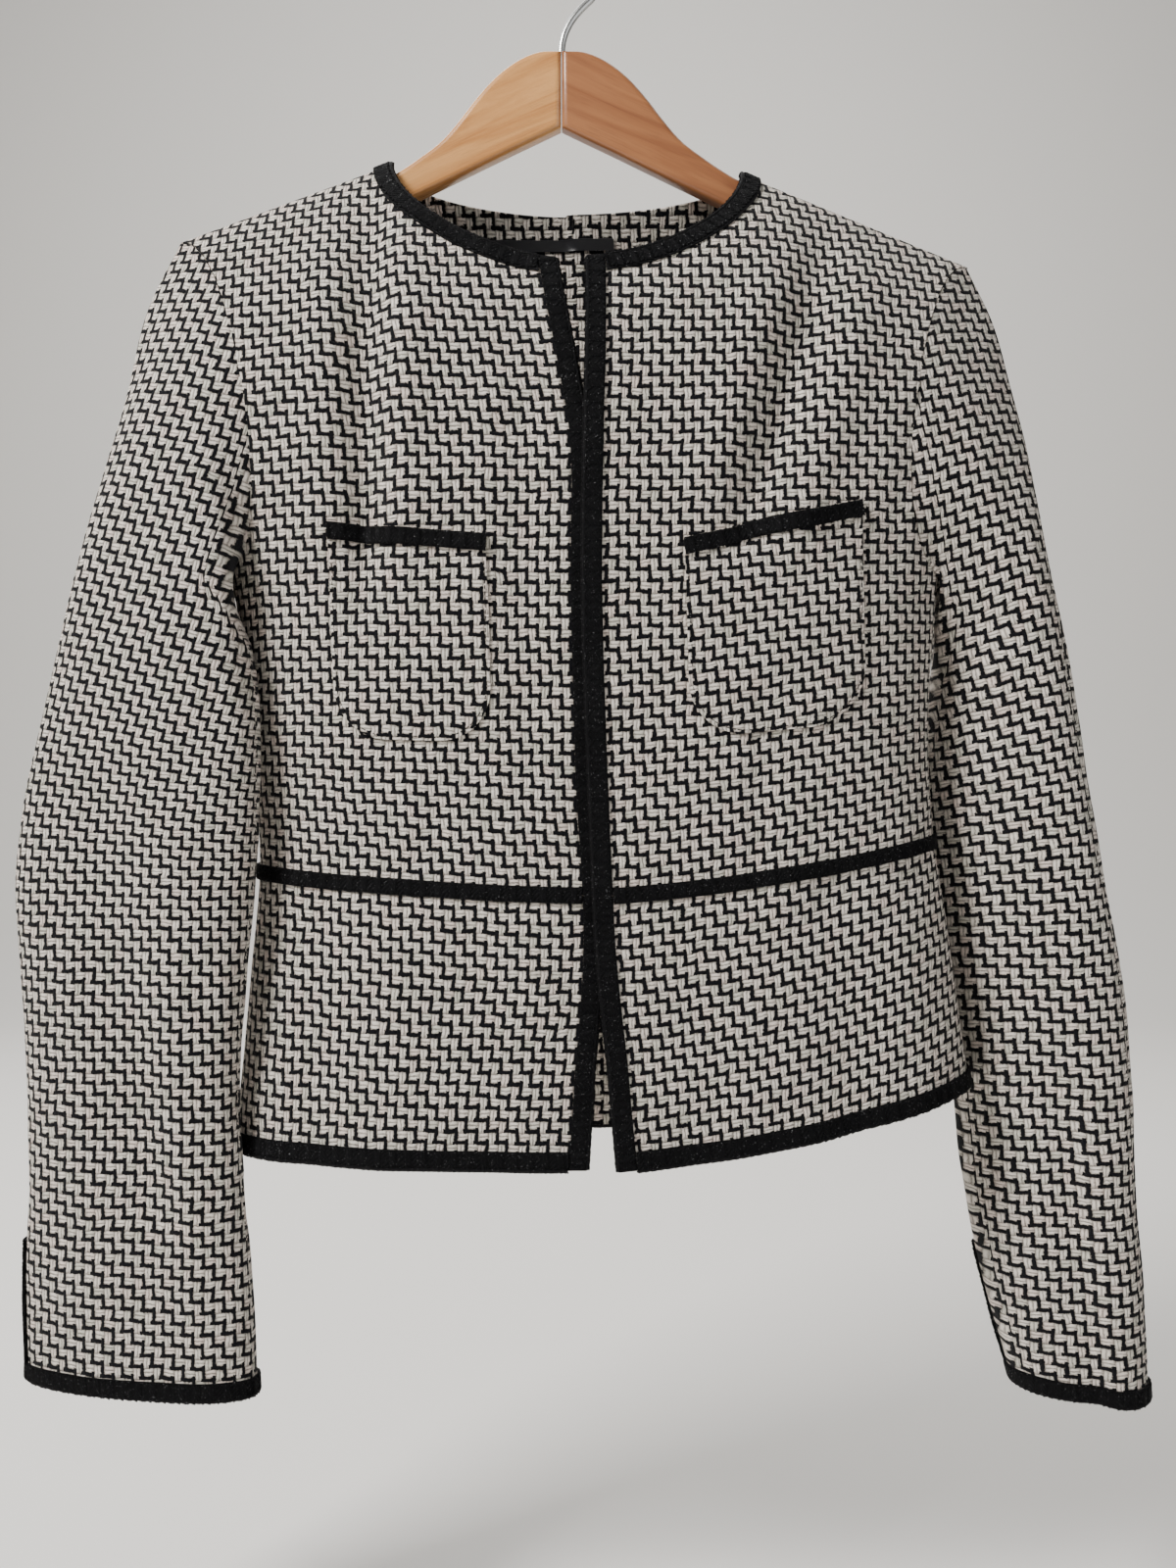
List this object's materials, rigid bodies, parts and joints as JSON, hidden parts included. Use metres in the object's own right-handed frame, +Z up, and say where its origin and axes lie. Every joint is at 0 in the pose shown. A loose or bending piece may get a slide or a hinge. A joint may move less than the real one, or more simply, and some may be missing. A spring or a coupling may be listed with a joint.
{
  "type": "cropped tweed jacket on a wooden hanger",
  "caption": "Collarless cropped tweed jacket edged with dark zigzag braid, with patch pockets and open fronts, hung on a wooden hanger with a steel hook.",
  "frame": {"origin": "inside top of the hanger's hook, where a rail holds it", "axes": "+Z up, +Y towards the jacket's back, +X towards the wearer's left"},
  "size_m": [0.5983, 0.1105, 0.7807],
  "materials": {
    "tweed": "loose woven check of cream and black yarns, matt and slightly fuzzy",
    "braid": "matt black zigzag braid",
    "satin": "plain black satin",
    "light_wood": "clear-lacquered light orange wood",
    "dark_wood": "clear-lacquered brown wood",
    "steel": "plain bright steel wire"
  },
  "bodies": {
    "root": {"right_front": "tweed", "left_front": "tweed", "right_front_skirt": "tweed", "left_front_skirt": "tweed", "back": "tweed", "back_skirt": "tweed", "right_sleeve": "tweed", "left_sleeve": "tweed", "right_pocket": "tweed", "left_pocket": "tweed", "neck_braid": "braid", "right_edge_braid": "braid", "left_edge_braid": "braid", "waist_braid": "braid", "hem_braid": "braid", "right_cuff_braid": "braid", "left_cuff_braid": "braid", "right_vent_braid": "braid", "left_vent_braid": "braid", "right_pocket_braid": "braid", "left_pocket_braid": "braid", "neck_label": "satin", "hanger_right_arm": "light_wood", "hanger_left_arm": "dark_wood", "hanger_hook": "steel"}
  },
  "joints": []
}
